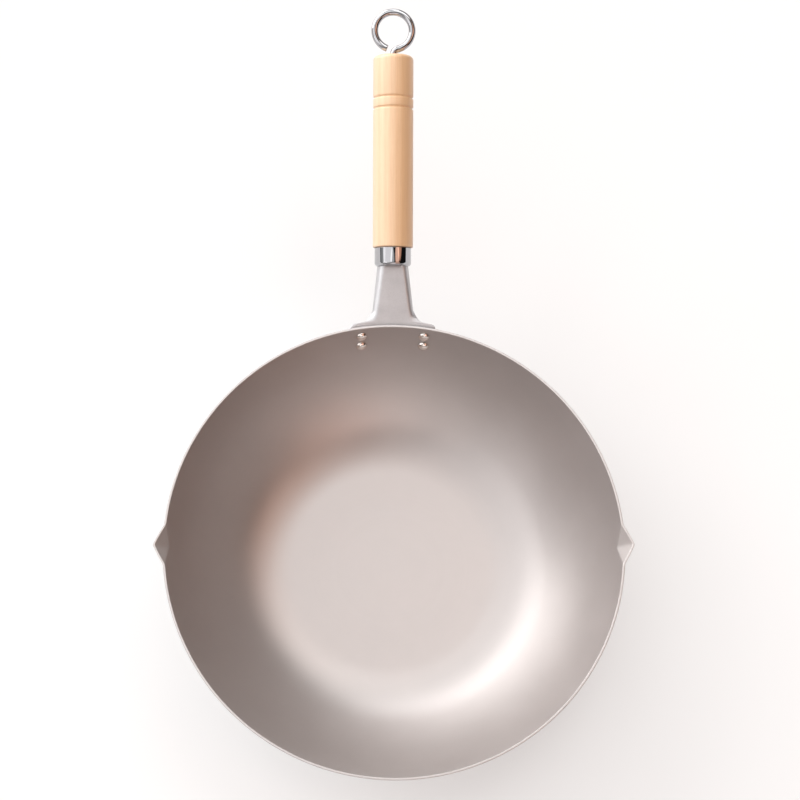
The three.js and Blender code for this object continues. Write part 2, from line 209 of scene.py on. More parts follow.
def skin(name, rings, wrap):
    """Solid between closed rings of points. The last ring joins the first, or both ends are capped."""
    size = len(rings[0])
    count = len(rings)
    points = [point for ring in rings for point in ring]
    faces = []
    for ring in range(count if wrap else count - 1):
        here = ring * size
        there = (ring + 1) % count * size
        for side in range(size):
            after = (side + 1) % size
            faces.append((here + side, here + after, there + after, there + side))
    if not wrap:
        faces.append(tuple(reversed(range(size))))
        faces.append(tuple(range((count - 1) * size, count * size)))
    return mesh_object(name, points, faces)


def turned(name, outline, columns, place):
    """Solid turned about the z axis of place from an outline of radius and height."""
    rings = []
    for column in range(columns):
        angle = 2 * math.pi * column / columns
        across = Vector((math.cos(angle), math.sin(angle), 0))
        rings.append([place @ (across * x + Vector((0, 0, y))) for x, y in outline])
    return skin(name, rings, wrap=True)


def combine(piece, other, operation):
    """Joins another solid to the piece or cuts it out of the piece."""
    step = piece.modifiers.new(operation, "BOOLEAN")
    step.operation = operation
    step.solver = "EXACT"
    step.object = other
    bpy.context.view_layer.update()
    view = piece.evaluated_get(bpy.context.evaluated_depsgraph_get())
    piece.modifiers.clear()
    piece.data = bpy.data.meshes.new_from_object(view)
    piece.data.name = piece.name
    bpy.data.objects.remove(other)
    clean(piece)


# Profile of the bowl
corner_start = Vector((BASE_RADIUS, BOWL_SHEET))
corner_length = CORNER_RADIUS * CORNER_TURN
wall_start = arc_point(corner_start, 0, CORNER_TURN, corner_length, 1)
rim_inner = Vector((RIM_RADIUS, BOWL_SHEET + BOWL_DEPTH))
wall_chord = rim_inner - wall_start
wall_turn = 2 * (math.atan2(wall_chord.y, wall_chord.x) - CORNER_TURN)
wall_length = wall_chord.length * wall_turn / 2 / math.sin(wall_turn / 2)
rim_slope = CORNER_TURN + wall_turn
rim_outer = rim_inner + Vector((BOWL_SHEET / math.sin(rim_slope), 0))


def beside(point, slope, out):
    return point + out * Vector((math.sin(slope), -math.cos(slope)))


def wall_point(down, out):
    """Point and slope beside the wall's inner face, down below the rim and out from the face."""
    part = 1 - down / wall_length
    slope = CORNER_TURN + wall_turn * part
    point = arc_point(wall_start, CORNER_TURN, wall_turn, wall_length, part)
    return beside(point, slope, out), slope


def bowl_skin(out):
    """One face of the bowl from the edge of its base to just below the rim."""
    corner_steps = 14
    wall_steps = 16
    spout_steps = 14
    spout_zone = 1.4 * SPOUT_DROP
    line = []
    for step in range(corner_steps):
        part = step / corner_steps
        point = arc_point(corner_start, 0, CORNER_TURN, corner_length, part)
        line.append(beside(point, CORNER_TURN * part, out))
    for step in range(wall_steps):
        line.append(wall_point(mix(wall_length, spout_zone, step / wall_steps), out)[0])
    for step in range(spout_steps):
        line.append(wall_point(mix(spout_zone, 2 * RIM_EDGE, step / spout_steps), out)[0])
    return line


def rim_line():
    """Cut edge of the sheet, flat on top with both edges eased."""
    inner = wall_point(2 * RIM_EDGE, 0)[0]
    outer = wall_point(2 * RIM_EDGE, BOWL_SHEET)[0]
    corners = [(*inner, 0), (*rim_inner, RIM_EDGE), (*rim_outer, RIM_EDGE), (*outer, 0)]
    return rounded(corners)


def spout_push(angle, height):
    """How far the pressed spouts move the sheet outwards: a roof shape with softened edges."""
    along = RIM_RADIUS * math.asin(abs(math.sin(angle)))
    along = math.hypot(along, SPOUT_CREASE) - SPOUT_CREASE
    down = (rim_inner.y - height) / math.sin(rim_slope)
    roof = 1 - 2 * along / SPOUT_WIDTH - down / SPOUT_DROP
    return SPOUT_REACH * (roof + math.hypot(roof, SPOUT_SOFTNESS)) / 2


def base_line(height):
    """Flat of the base from its centre outwards."""
    return [Vector((BASE_RADIUS * part, height)) for part in BASE_RINGS]


def make_bowl():
    inner = base_line(BOWL_SHEET) + bowl_skin(0)
    outer = base_line(0) + bowl_skin(BOWL_SHEET)
    outline = inner + rim_line() + outer[::-1]
    rings = []
    for column in range(BOWL_COLUMNS):
        even = 2 * math.pi * column / BOWL_COLUMNS
        angle = even - SPOUT_CROWDING / 2 * math.sin(2 * even)
        ring = []
        for x, y in outline:
            radius = x + (spout_push(angle, y) if y > rim_inner.y / 2 else 0)
            ring.append(Vector((radius * math.cos(angle), radius * math.sin(angle), y)))
        rings.append(ring)
    bowl = skin("bowl_body", rings, wrap=True)
    drill_rivet_holes(bowl)
    return bowl


# Middle line of the bracket's sheet in the plane of the handle
wall_offset = BOWL_SHEET + SEAT + BRACKET_SHEET / 2
bend_start, bend_slope = wall_point(SADDLE_TOP, wall_offset)
bend_turn = HANDLE_RISE - bend_slope
bend_length = BEND_RADIUS * abs(bend_turn)
bend_end = arc_point(bend_start, bend_slope, bend_turn, bend_length, 1)
neck_start = SADDLE_HEIGHT + bend_length
neck_end = neck_start + NECK_LENGTH
wing_top = neck_start + WING_RISE
fold_end = wing_top + FOLD_RUN
fillet_end = wing_top + WING_SLOPE + NECK_FILLET
fold_length = FOLD_RADIUS * FOLD_TURN
root_half = NECK_ROOT_FACE / 2 + fold_length + FLANK_ROOT
tip_half = NECK_TIP_FACE / 2 + fold_length + FLANK_TIP


def spine(along):
    """Point and slope on the bracket's middle line."""
    if along <= SADDLE_HEIGHT:
        return wall_point(SADDLE_TOP + SADDLE_HEIGHT - along, wall_offset)
    part = min((along - SADDLE_HEIGHT) / bend_length, 1)
    point = arc_point(bend_start, bend_slope, bend_turn, bend_length, part)
    straight = max(along - neck_start, 0)
    point += straight * Vector((math.cos(HANDLE_RISE), math.sin(HANDLE_RISE)))
    return point, bend_slope + bend_turn * part


def face_half(along):
    return mix(NECK_ROOT_FACE, NECK_TIP_FACE, (along - neck_start) / NECK_LENGTH) / 2


def sheet_point(along, across):
    """Point in the middle of the bracket's sheet, along its spine and across it."""
    point, slope = spine(along)
    folded = smooth(along, wing_top, fold_end)
    fold = FOLD_TURN * folded
    face = min(face_half(along), abs(across))
    bent = min(abs(across) - face, fold_length)
    rest = abs(across) - face - bent
    edge = arc_point(Vector((face, 0)), 0, -fold, fold_length, bent / fold_length)
    reach = math.copysign(edge.x + rest * math.cos(fold), across)
    lift = edge.y - rest * math.sin(fold)
    radius = point.x - lift * math.sin(slope)
    height = point.y + lift * math.cos(slope)
    curl = reach / radius
    curved = Vector((radius * math.sin(curl), radius * math.cos(curl), height))
    return curved.lerp(Vector((reach, radius, height)), folded)


def sheet_normal(along, across):
    step = 0.00005
    forward = sheet_point(along + step, across) - sheet_point(along - step, across)
    sideways = sheet_point(along, across + step) - sheet_point(along, across - step)
    return sideways.cross(forward).normalized()


def bracket_outline():
    """Half width of the flat sheet at places along its spine."""
    half = SADDLE_WIDTH / 2
    # A little less than the corner's length, so that the arc starts past the first point
    corner_arc = SADDLE_CORNER * 0.98
    corners = [
        (half - SADDLE_CORNER, 0, 0),
        (half, 0, corner_arc),
        (half, SADDLE_HEIGHT / 2, 0),
    ]
    bend_steps = 6
    for step in range(bend_steps):
        corners.append((half, mix(SADDLE_HEIGHT, wing_top - WING_CORNER, step / bend_steps), 0))
    corners.append((half, wing_top, WING_CORNER))
    corners.append((root_half, wing_top + WING_SLOPE, NECK_FILLET))
    neck_steps = 24
    for step in range(1, neck_steps + 1):
        along = mix(fillet_end, neck_end, step / neck_steps)
        part = (along - neck_start) / NECK_LENGTH
        corners.append((mix(root_half, tip_half, part), along, 0))
    return rounded(corners)


def bracket_ring(along, half):
    """Closed section of the sheet with rounded edges, over its upper face and back under it."""
    face = min(face_half(along), half - 2 * fold_length)
    inset = half - BRACKET_EDGE
    bend_steps = 8
    flank_steps = 4
    stops = [face * step / bend_steps for step in range(bend_steps + 1)]
    stops += [face + fold_length * step / bend_steps for step in range(1, bend_steps + 1)]
    stops += [mix(face + fold_length, inset, step / flank_steps) for step in range(1, flank_steps + 1)]
    core = BRACKET_SHEET / 2 - BRACKET_EDGE
    edge = []
    edge_steps = 4
    for step in range(1, edge_steps):
        lean = math.pi / 2 * step / edge_steps
        edge.append((inset + BRACKET_EDGE * math.sin(lean), core + BRACKET_EDGE * math.cos(lean)))
    edge.append((half, core))
    upper = [(stop, BRACKET_SHEET / 2) for stop in stops] + edge
    lower = [(across, -lift) for across, lift in reversed(upper)]
    right = upper + lower
    left = [(-across, lift) for across, lift in reversed(right) if across > 0]
    return [sheet_point(along, across) + lift * sheet_normal(along, across) for across, lift in right + left]


def make_bracket():
    rings = [bracket_ring(point.y, point.x) for point in bracket_outline()]
    bracket = skin("bracket_sheet", rings, wrap=False)
    combine(bracket, make_tang(), "UNION")
    drill_rivet_holes(bracket)
    return bracket


# Frame of the handle: z runs out along its axis from the bend and y points down
axis_drop = TANG_SHEET / 2 + TANG_BEND + NUT_FLATS / 2
handle_down = Vector((0, math.sin(HANDLE_RISE), -math.cos(HANDLE_RISE)))
handle_out = Vector((0, math.cos(HANDLE_RISE), math.sin(HANDLE_RISE)))
handle_origin = Vector((0, bend_end.x, bend_end.y)) + axis_drop * handle_down
handle_axes = Matrix((Vector((1, 0, 0)), handle_down, handle_out)).transposed()
handle_frame = Matrix.Translation(handle_origin) @ handle_axes.to_4x4()

# Places along the axis of the handle
ferrule_foot = NECK_LENGTH + SEAT
grip_shoulder = ferrule_foot + FERRULE_LENGTH + SEAT
grip_top = grip_shoulder + GRIP_LENGTH
spigot_foot = ferrule_foot + FERRULE_WALL + SEAT
rod_end = spigot_foot + SEAT
nut_foot = rod_end + ROD_PROTRUSION
tab_foot = nut_foot + NUT_THICKNESS + SEAT
tang_end = tab_foot + TANG_SHEET
mortise_end = tang_end + SEAT
eye_centre = grip_top + EYE_NECK + math.sqrt(EYE_RADIUS ** 2 + 2 * EYE_RADIUS * EYE_FILLET)


def block(low, high, place):
    """Plain box between two corners, used to cut openings."""
    corners = [(low.x, low.y), (high.x, low.y), (high.x, high.y), (low.x, high.y)]
    rings = [[place @ Vector((x, y, z)) for x, y in corners] for z in (low.z, high.z)]
    return skin("cutter", rings, wrap=False)


def rod_hole(radius, start, end, place):
    return turned("cutter", [(0, start), (radius, start), (radius, end), (0, end)], RIVET_COLUMNS, place)


def socket(start, end):
    """Opening through the foot of the grip that lets the tang, the tab and the nut pass."""
    half = max(TANG_WIDTH, NUT_FLATS * 2 / math.sqrt(3)) / 2 + SEAT
    above = axis_drop + TANG_SHEET / 2 + SEAT
    below = TAB_BELOW_AXIS + SEAT
    return block(Vector((-half, -above, start)), Vector((half, below, end)), handle_frame)


def make_tang():
    high = axis_drop + TANG_SHEET / 2
    low = axis_drop - TANG_SHEET / 2
    root = NECK_LENGTH - TANG_ROOT
    outline = rounded([
        (root, low, 0),
        (tab_foot, low, TANG_BEND),
        (tab_foot, -TAB_BELOW_AXIS, 0),
        (tang_end, -TAB_BELOW_AXIS, 0),
        (tang_end, high, TANG_BEND + TANG_SHEET),
        (root, high, 0),
    ])
    rings = []
    for across in (-TANG_WIDTH / 2, TANG_WIDTH / 2):
        rings.append([handle_frame @ Vector((across, -up, along)) for along, up in outline])
    tang = skin("tang", rings, wrap=False)
    radius = ROD_DIAMETER / 2 + HOLE_CLEARANCE
    combine(tang, rod_hole(radius, tab_foot - SEAT, tang_end + SEAT, handle_frame), "DIFFERENCE")
    return tang


# Rivets: z of each frame points from the wall's inner face into the bowl
riveted_thickness = BOWL_SHEET + SEAT + BRACKET_SHEET


def rivet_frame(side, down):
    point, slope = wall_point(down, 0)
    angle = side * RIVET_SPREAD / 2 / point.x
    turn = Matrix.Rotation(-angle, 4, "Z")
    return turn @ Matrix.Translation((0, point.x, point.y)) @ Matrix.Rotation(slope, 4, "X")


rivet_frames = {
    "rivet_upper_left": rivet_frame(-1, RIVET_UPPER),
    "rivet_upper_right": rivet_frame(1, RIVET_UPPER),
    "rivet_lower_left": rivet_frame(-1, RIVET_UPPER + RIVET_PITCH),
    "rivet_lower_right": rivet_frame(1, RIVET_UPPER + RIVET_PITCH),
}


def drill_rivet_holes(piece):
    radius = RIVET_SHANK / 2 + HOLE_CLEARANCE
    for place in rivet_frames.values():
        hole = rod_hole(radius, -riveted_thickness - RIVET_TAIL_HEIGHT, RIVET_HEAD_HEIGHT, place)
        combine(piece, hole, "DIFFERENCE")


def make_rivet(name, place):
    """Round head inside the bowl, a shank and a flattened tail outside."""
    shank = RIVET_SHANK / 2
    head = RIVET_HEAD / 2
    tail_top = -riveted_thickness - SEAT
    tail_end = tail_top - RIVET_TAIL_HEIGHT
    outline = rounded([
        (0, tail_end, 0),
        (RIVET_TAIL_FLAT / 2, tail_end, RIVET_TAIL_HEIGHT / 3),
        (RIVET_TAIL / 2, tail_top - RIVET_TAIL_HEIGHT / 2, RIVET_TAIL_HEIGHT / 4),
        (RIVET_TAIL / 2, tail_top, 0),
        (shank, tail_top, 0),
        (shank, SEAT, 0),
    ])
    dome_steps = 12
    for step in range(dome_steps + 1):
        lean = math.pi / 2 * step / dome_steps
        outline.append(Vector((head * math.cos(lean), SEAT + RIVET_HEAD_HEIGHT * math.sin(lean))))
    return turned(name + "_body", outline, RIVET_COLUMNS, place)


def make_nut():
    """Hexagon nut with its corners cut back to a cone at both ends."""
    bore = ROD_DIAMETER / 2 + HOLE_CLEARANCE
    flat = NUT_FLATS / 2
    rings = []
    columns = 72
    for column in range(columns):
        angle = 2 * math.pi * column / columns
        reach = flat / math.cos((angle + math.pi / 6) % (math.pi / 3) - math.pi / 6)
        cone = (reach - flat) * math.tan(math.pi / 6)
        side = [(flat, 0), (reach, cone), (reach, NUT_THICKNESS - cone), (flat, NUT_THICKNESS)]
        outline = [(bore, 0), *side, (bore, NUT_THICKNESS)]
        across = Vector((math.cos(angle), math.sin(angle), 0))
        rings.append([handle_frame @ (across * x + Vector((0, 0, nut_foot + y))) for x, y in outline])
    return skin("clamp_nut_body", rings, wrap=True)


def make_ferrule():
    """Plated cap with a rounded foot, open for the tang."""
    outer = FERRULE_DIAMETER / 2
    inner = outer - FERRULE_WALL
    top = ferrule_foot + FERRULE_LENGTH
    outline = rounded([
        (0, ferrule_foot, 0),
        (outer, ferrule_foot, FERRULE_EDGE),
        (outer, top, FERRULE_LIP),
        (inner, top, FERRULE_LIP),
        (inner, ferrule_foot + FERRULE_WALL, FERRULE_EDGE - FERRULE_WALL),
        (0, ferrule_foot + FERRULE_WALL, 0),
    ])
    ferrule = turned("ferrule_cap", outline, TURNED_COLUMNS, handle_frame)
    combine(ferrule, socket(ferrule_foot - SEAT, spigot_foot), "DIFFERENCE")
    return ferrule


def make_grip():
    """Turned wooden grip with a spigot in the ferrule, two grooves and a rounded end."""
    outer = GRIP_DIAMETER / 2
    bore = ROD_DIAMETER / 2 + HOLE_CLEARANCE
    spigot = FERRULE_DIAMETER / 2 - FERRULE_WALL - SEAT
    chamfer = FERRULE_EDGE - FERRULE_WALL
    corners = [
        (bore, spigot_foot, 0),
        (spigot - chamfer, spigot_foot, 0),
        (spigot, spigot_foot + chamfer, 0),
        (spigot, grip_shoulder, 0),
        (outer, grip_shoulder, GRIP_LOWER_EDGE),
    ]
    for groove in (GROOVE_FIRST, GROOVE_FIRST + GROOVE_PITCH):
        middle = grip_shoulder + groove
        corners.append((outer, middle - GROOVE_WIDTH / 2, GROOVE_EDGE))
        corners.append((outer - GROOVE_DEPTH, middle, GROOVE_EDGE))
        corners.append((outer, middle + GROOVE_WIDTH / 2, GROOVE_EDGE))
    corners += [
        (outer, grip_top, GRIP_TOP_EDGE),
        (bore, grip_top, BORE_EDGE),
        (bore, spigot_foot, 0),
    ]
    grip = turned("wood_grip_body", rounded(corners)[:-1], TURNED_COLUMNS, handle_frame)
    combine(grip, socket(spigot_foot - SEAT, mortise_end), "DIFFERENCE")
    return grip


def eye_line():
    """Centre line of the eye bolt as points and headings in the plane of the eye, from the rod's end."""
    shank_top = grip_top + EYE_NECK
    join = math.acos(EYE_FILLET / (EYE_RADIUS + EYE_FILLET))
    line = [(Vector((0, rod_end + WIRE_EDGE)), math.pi / 2)]
    thread_steps = 8 * round(THREAD_LENGTH / THREAD_PITCH)
    for step in range(1, thread_steps + 1):
        line.append((Vector((0, rod_end + WIRE_EDGE + THREAD_LENGTH * step / thread_steps)), math.pi / 2))
    line.append((Vector((0, grip_shoulder)), math.pi / 2))
    fillet_steps = 14
    for step in range(fillet_steps + 1):
        turn = mix(math.pi, join, step / fillet_steps)
        offset = EYE_FILLET * Vector((1 + math.cos(turn), math.sin(turn)))
        line.append((Vector((0, shank_top)) + offset, turn - math.pi / 2))
    ring_steps = 84
    for step in range(1, ring_steps + 1):
        turn = mix(-join, EYE_END, step / ring_steps)
        offset = EYE_RADIUS * Vector((math.cos(turn), math.sin(turn)))
        line.append((Vector((0, eye_centre)) + offset, turn + math.pi / 2))
    return line


def thread_dip(point, side):
    """Depth of the rolled thread at a place on the rod: one helical groove per pitch, fading out."""
    up = point.y - rod_end - WIRE_EDGE
    phase = (up / THREAD_PITCH - side / WIRE_SIDES) % 1
    fade = 1 - smooth(up, THREAD_LENGTH - 2 * THREAD_PITCH, THREAD_LENGTH)
    return THREAD_DEPTH * fade * abs(2 * phase - 1)


def wire_ring(point, heading, shrink, dip):
    ring = []
    for side in range(WIRE_SIDES):
        angle = 2 * math.pi * side / WIRE_SIDES
        radius = ROD_DIAMETER / 2 - shrink - (thread_dip(point, side) if dip else 0)
        across = radius * math.cos(angle)
        x = point.x + across * math.sin(heading)
        z = point.y - across * math.cos(heading)
        ring.append(handle_frame @ Vector((x, radius * math.sin(angle), z)))
    return ring


def make_eye_bolt():
    """Wire with a rolled thread, bent at its far end to an open ring, with both cut ends eased."""
    line = eye_line()
    first, last = line[0], line[-1]
    rings = [wire_ring(first[0] - Vector((0, WIRE_EDGE)), first[1], WIRE_EDGE + THREAD_DEPTH, False)]
    for point, heading in line:
        rings.append(wire_ring(point, heading, 0, point.y < rod_end + THREAD_LENGTH and point.x == 0))
    ahead = Vector((math.cos(last[1]), math.sin(last[1])))
    edge_steps = 3
    for step in range(1, edge_steps + 1):
        lean = math.pi / 2 * step / edge_steps
        shrink = WIRE_EDGE * (1 - math.cos(lean))
        rings.append(wire_ring(last[0] + ahead * WIRE_EDGE * math.sin(lean), last[1], shrink, False))
    return skin("eye_bolt_wire", rings, wrap=False)


class Look:
    """A procedural material: a Principled shader with its constant values, and nodes added to it."""

    def __init__(self, name, values):
        self.material = bpy.data.materials.new(name)
        self.material.use_nodes = True
        self.tree = self.material.node_tree
        self.shader = self.tree.nodes["Principled BSDF"]
        for socket_name, value in values.items():
            self.shader.inputs[socket_name].default_value = value
        self.place = self.add("TexCoord").outputs["Object"]

    def add(self, kind, inputs=(), **settings):
        node = self.tree.nodes.new("ShaderNode" + kind)
        for name, value in settings.items():
            setattr(node, name, value)
        for key, value in dict(inputs).items():
            self.feed(node.inputs[key], value)
        return node

    def feed(self, target, value):
        if isinstance(value, bpy.types.NodeSocket):
            self.tree.links.new(value, target)
        else:
            target.default_value = value

    def noise(self, place, scale, detail=4.0, rough=0.55):
        inputs = {"Vector": place, "Scale": scale, "Detail": detail, "Roughness": rough}
        return self.add("TexNoise", inputs).outputs["Fac"]

    def stretch(self, value, low, high, to_low, to_high):
        inputs = {"Value": value, "From Min": low, "From Max": high, "To Min": to_low, "To Max": to_high}
        return self.add("MapRange", inputs).outputs["Result"]

    def blend(self, part, low, high):
        node = self.add("Mix", {0: part, 6: low, 7: high}, data_type="RGBA")
        return node.outputs[2]

    def bump(self, height, strength, distance):
        inputs = {"Height": height, "Strength": strength, "Distance": distance}
        self.feed(self.shader.inputs["Normal"], self.add("Bump", inputs).outputs["Normal"])

    def paint(self, socket_name, value):
        self.feed(self.shader.inputs[socket_name], value)


def bowl_look():
    """Satin pressed steel: warm grey, softly cloudy, with fine rings from polishing and duller spouts."""
    look = Look("bowl_steel", {"Metallic": 1.0})
    cloud = look.noise(look.place, 26.0, 3.0)
    parts = look.add("SeparateXYZ", {"Vector": look.place}).outputs
    flat = look.add("CombineXYZ", {"X": parts["X"], "Y": parts["Y"]}).outputs["Vector"]
    radius = look.add("VectorMath", {0: flat}, operation="LENGTH").outputs["Value"]
    round_place = look.add("CombineXYZ", {"X": radius, "Z": parts["Z"]}).outputs["Vector"]
    rings = look.noise(round_place, 1500.0, 3.0)
    grain = look.noise(look.place, 2600.0, 2.0)
    tone = look.stretch(cloud, 0.3, 0.7, 0.0, 1.0)
    look.paint("Base Color", look.blend(tone, (0.536, 0.502, 0.490, 1), (0.564, 0.528, 0.516, 1)))
    gloss = look.add("Math", {0: rings, 1: cloud}, operation="ADD").outputs["Value"]
    satin = look.stretch(gloss, 0.6, 1.4, 0.47, 0.53)
    side = look.add("Math", {0: parts["Y"]}, operation="ABSOLUTE").outputs["Value"]
    across = look.stretch(side, 0.0, SPOUT_WIDTH, 0.0, 2.0)
    spout_foot = rim_inner.y - 2 * SPOUT_DROP * math.sin(rim_slope)
    down = look.stretch(parts["Z"], spout_foot, rim_inner.y, 2.0, 0.0)
    spread = look.add("Math", {0: across, 1: down}, operation="ADD").outputs["Value"]
    pressed = look.stretch(spread, 0.95, 1.15, 0.3, 0.0)
    look.paint("Roughness", look.add("Math", {0: satin, 1: pressed}, operation="ADD").outputs["Value"])
    relief = look.add("Math", {0: rings, 1: grain}, operation="ADD").outputs["Value"]
    look.bump(relief, 0.05, 0.00004)
    return look.material


def rim_look():
    """Cut edge of the sheet, a little glossier than the faces."""
    look = Look("rim_steel", {"Metallic": 1.0})
    wear = look.noise(look.place, 420.0, 4.0)
    look.paint("Base Color", look.blend(wear, (0.49, 0.465, 0.457, 1), (0.57, 0.539, 0.528, 1)))
    look.paint("Roughness", look.stretch(wear, 0.3, 0.7, 0.40, 0.50))
    look.bump(wear, 0.10, 0.00005)
    return look.material


def bracket_look():
    """Blasted steel: pale grey with a fine grain."""
    look = Look("bracket_steel", {"Metallic": 1.0})
    grain = look.noise(look.place, 1500.0, 4.0, 0.6)
    cloud = look.noise(look.place, 70.0, 3.0)
    blasted = look.add("Math", {0: grain, 1: cloud}, operation="ADD").outputs["Value"]
    tone = look.stretch(blasted, 0.7, 1.3, 0.0, 1.0)
    look.paint("Base Color", look.blend(tone, (0.515, 0.51, 0.52, 1), (0.63, 0.624, 0.636, 1)))
    look.paint("Roughness", look.stretch(grain, 0.3, 0.7, 0.50, 0.60))
    look.bump(grain, 0.25, 0.00008)
    return look.material


def rivet_look():
    """Rivet steel, lightly hammered."""
    look = Look("rivet_steel", {"Metallic": 1.0})
    dents = look.noise(look.place, 700.0, 2.0)
    look.paint("Base Color", look.blend(dents, (0.82, 0.776, 0.735, 1), (0.95, 0.90, 0.855, 1)))
    look.paint("Roughness", look.stretch(dents, 0.3, 0.7, 0.15, 0.24))
    look.bump(dents, 0.2, 0.0001)
    return look.material


def plated_look(name, colour, dull):
    """Bright plating with faint handling marks."""
    look = Look(name, {"Metallic": 1.0})
    marks = look.noise(look.place, 320.0, 6.0, 0.65)
    bright = tuple(1.05 * part for part in colour)
    look.paint("Base Color", look.blend(marks, (*colour, 1), (*bright, 1)))
    look.paint("Roughness", look.stretch(marks, 0.3, 0.7, dull - 0.03, dull + 0.03))
    look.bump(marks, 0.02, 0.00004)
    return look.material


def wood_look():
    """Pale close-grained wood with its grain along the grip, and painted shade that turns it warmer towards
    one side.
    """
    finish = {"Metallic": 0.0, "Specular IOR Level": 0.85, "Coat Weight": 0.7, "Coat Roughness": 0.42}
    look = Look("grip_wood", finish)
    upright = math.pi / 2 - HANDLE_RISE
    place = look.add("Mapping", {"Vector": look.place, "Rotation": (upright, 0, 0)}).outputs["Vector"]
    along = look.add("Mapping", {"Vector": place, "Scale": (1, 1, 0.05)}).outputs["Vector"]
    year = look.add("TexWave", {
        "Vector": along, "Scale": 80.0, "Distortion": 3.0, "Detail": 2.0, "Detail Scale": 60.0,
    }, bands_direction="X").outputs["Fac"]
    fibre_place = look.add("Mapping", {"Vector": place, "Scale": (1, 1, 0.025)}).outputs["Vector"]
    fibre = look.noise(fibre_place, 1700.0, 5.0, 0.6)
    cloud = look.noise(along, 60.0, 2.0)
    ring = look.stretch(year, 0.2, 1.0, 0.0, 1.0)
    pale = look.blend(ring, (0.91, 0.68, 0.475, 1), (0.87, 0.615, 0.405, 1))
    # Painted shade: the colour turns warmer and darker towards the grip's +X side, on top of the random warm
    # clouds.
    across = look.add("SeparateXYZ", {"Vector": look.place}).outputs["X"]
    painted_shade_side = look.stretch(across, -GRIP_DIAMETER / 2, GRIP_DIAMETER / 2, 0.0, 0.45)
    share = look.add("Math", {0: look.stretch(cloud, 0.3, 0.7, 0.0, 0.3), 1: painted_shade_side}, operation="ADD")
    warm = look.blend(share.outputs["Value"], pale, (0.86, 0.505, 0.22, 1))
    dark = look.stretch(fibre, 0.35, 0.62, 0.24, 0.0)
    look.paint("Base Color", look.blend(dark, warm, (0.64, 0.38, 0.185, 1)))
    look.paint("Roughness", look.stretch(fibre, 0.3, 0.7, 0.52, 0.40))
    look.bump(fibre, 0.15, 0.0001)
    return look.material


def edge_slot(piece, material, test):
    """Gives a second finish to the faces that pass the test."""
    piece.data.materials.append(material)
    for face in piece.data.polygons:
        if test(face):
            face.material_index = 1


def dress(piece, body, node, material):
    piece.data.materials.clear()
    piece.data.materials.append(material)
    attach(piece, body)
    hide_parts(node)


bowl = make_bowl()
dress(bowl, "wok", "bowl", bowl_look())
edge_slot(bowl, rim_look(), lambda face: face.center.z > rim_inner.y - RIM_EDGE / 2)
dress(make_bracket(), "wok", "handle_bracket", bracket_look())
rivet_steel = rivet_look()
for rivet_name, rivet_place in rivet_frames.items():
    dress(make_rivet(rivet_name, rivet_place), "wok", rivet_name, rivet_steel)
nut_steel = plated_look("nut_steel", colour=(0.66, 0.66, 0.68), dull=0.3)
dress(make_nut(), "wok", "clamp_nut", nut_steel)
chrome = plated_look("plated_steel", colour=(0.46, 0.46, 0.475), dull=0.07)
dress(make_ferrule(), "grip", "ferrule", chrome)
dress(make_grip(), "grip", "wood_grip", wood_look())
dress(make_eye_bolt(), "eye", "eye_bolt", chrome)

# Stage: turns are in degrees, and the backdrop's limits are sines of the elevation
FLOOR_HALF = 40.0
FLOOR_DROP = 0.0002
FLOOR_COLOUR = (0.50, 0.50, 0.50, 1)
FLOOR_ROUGHNESS = 0.9
FLOOR_GLOW = 0.42
BACKDROP_FULL = 0.03
BACKDROP_END = 0.08
LIGHT_EDGE = 1.5
SURROUND = (0.01, 0.01, 0.01)
CAMERA_LENS = 81
CAMERA_SENSOR = 36
CAMERA_PLACE = (-0.04996, -0.24020, 1.23948)
CAMERA_TURN = (16.34, -2.518, -0.547)

# Soft lights: azimuth, elevation and radius in degrees, and light in red, green and blue
LIGHTS = [
    (120, 12, 15.5, (4.0, 4.0, 4.0)),
    (150, 12, 15.5, (4.05, 4.05, 4.05)),
    (120, 25, 15.5, (3.0, 3.0, 3.0)),
    (150, 25, 15.5, (2.75, 2.75, 2.75)),
    (90, 28, 15.5, (2.8, 2.8, 2.8)),
    (60, 56, 15.5, (2.72, 2.68, 2.64)),
    (120, 60, 15.5, (0.6, 0.6, 0.6)),
    (80, 80, 11, (2.17, 2.17, 2.17)),
    (182, 56, 30, (1.32, 1.29, 1.29)),
    (180, 25, 15.5, (0.45, 0.45, 0.45)),
    (210, 25, 15.5, (1.2, 1.16, 1.16)),
    (240, 30, 15.5, (0.76, 0.72, 0.7)),
    (255, 72, 12, (0.64, 0.64, 0.64)),
    (270, 29, 15.5, (1.53, 1.38, 1.33)),
    (300, 32, 15.5, (1.27, 0.78, 0.61)),
    (338, 62, 12, (1.42, 0.83, 0.6)),
    (2, 50, 13, (0.82, 0.41, 0.26)),
    (30, 52, 12, (0.54, 0.42, 0.36)),
]


def math_step(tree, operation, first, second):
    """Value of a math step on two sockets."""
    node = tree.nodes.new("ShaderNodeMath")
    node.operation = operation
    tree.links.new(first, node.inputs[0])
    tree.links.new(second, node.inputs[1])
    return node.outputs["Value"]


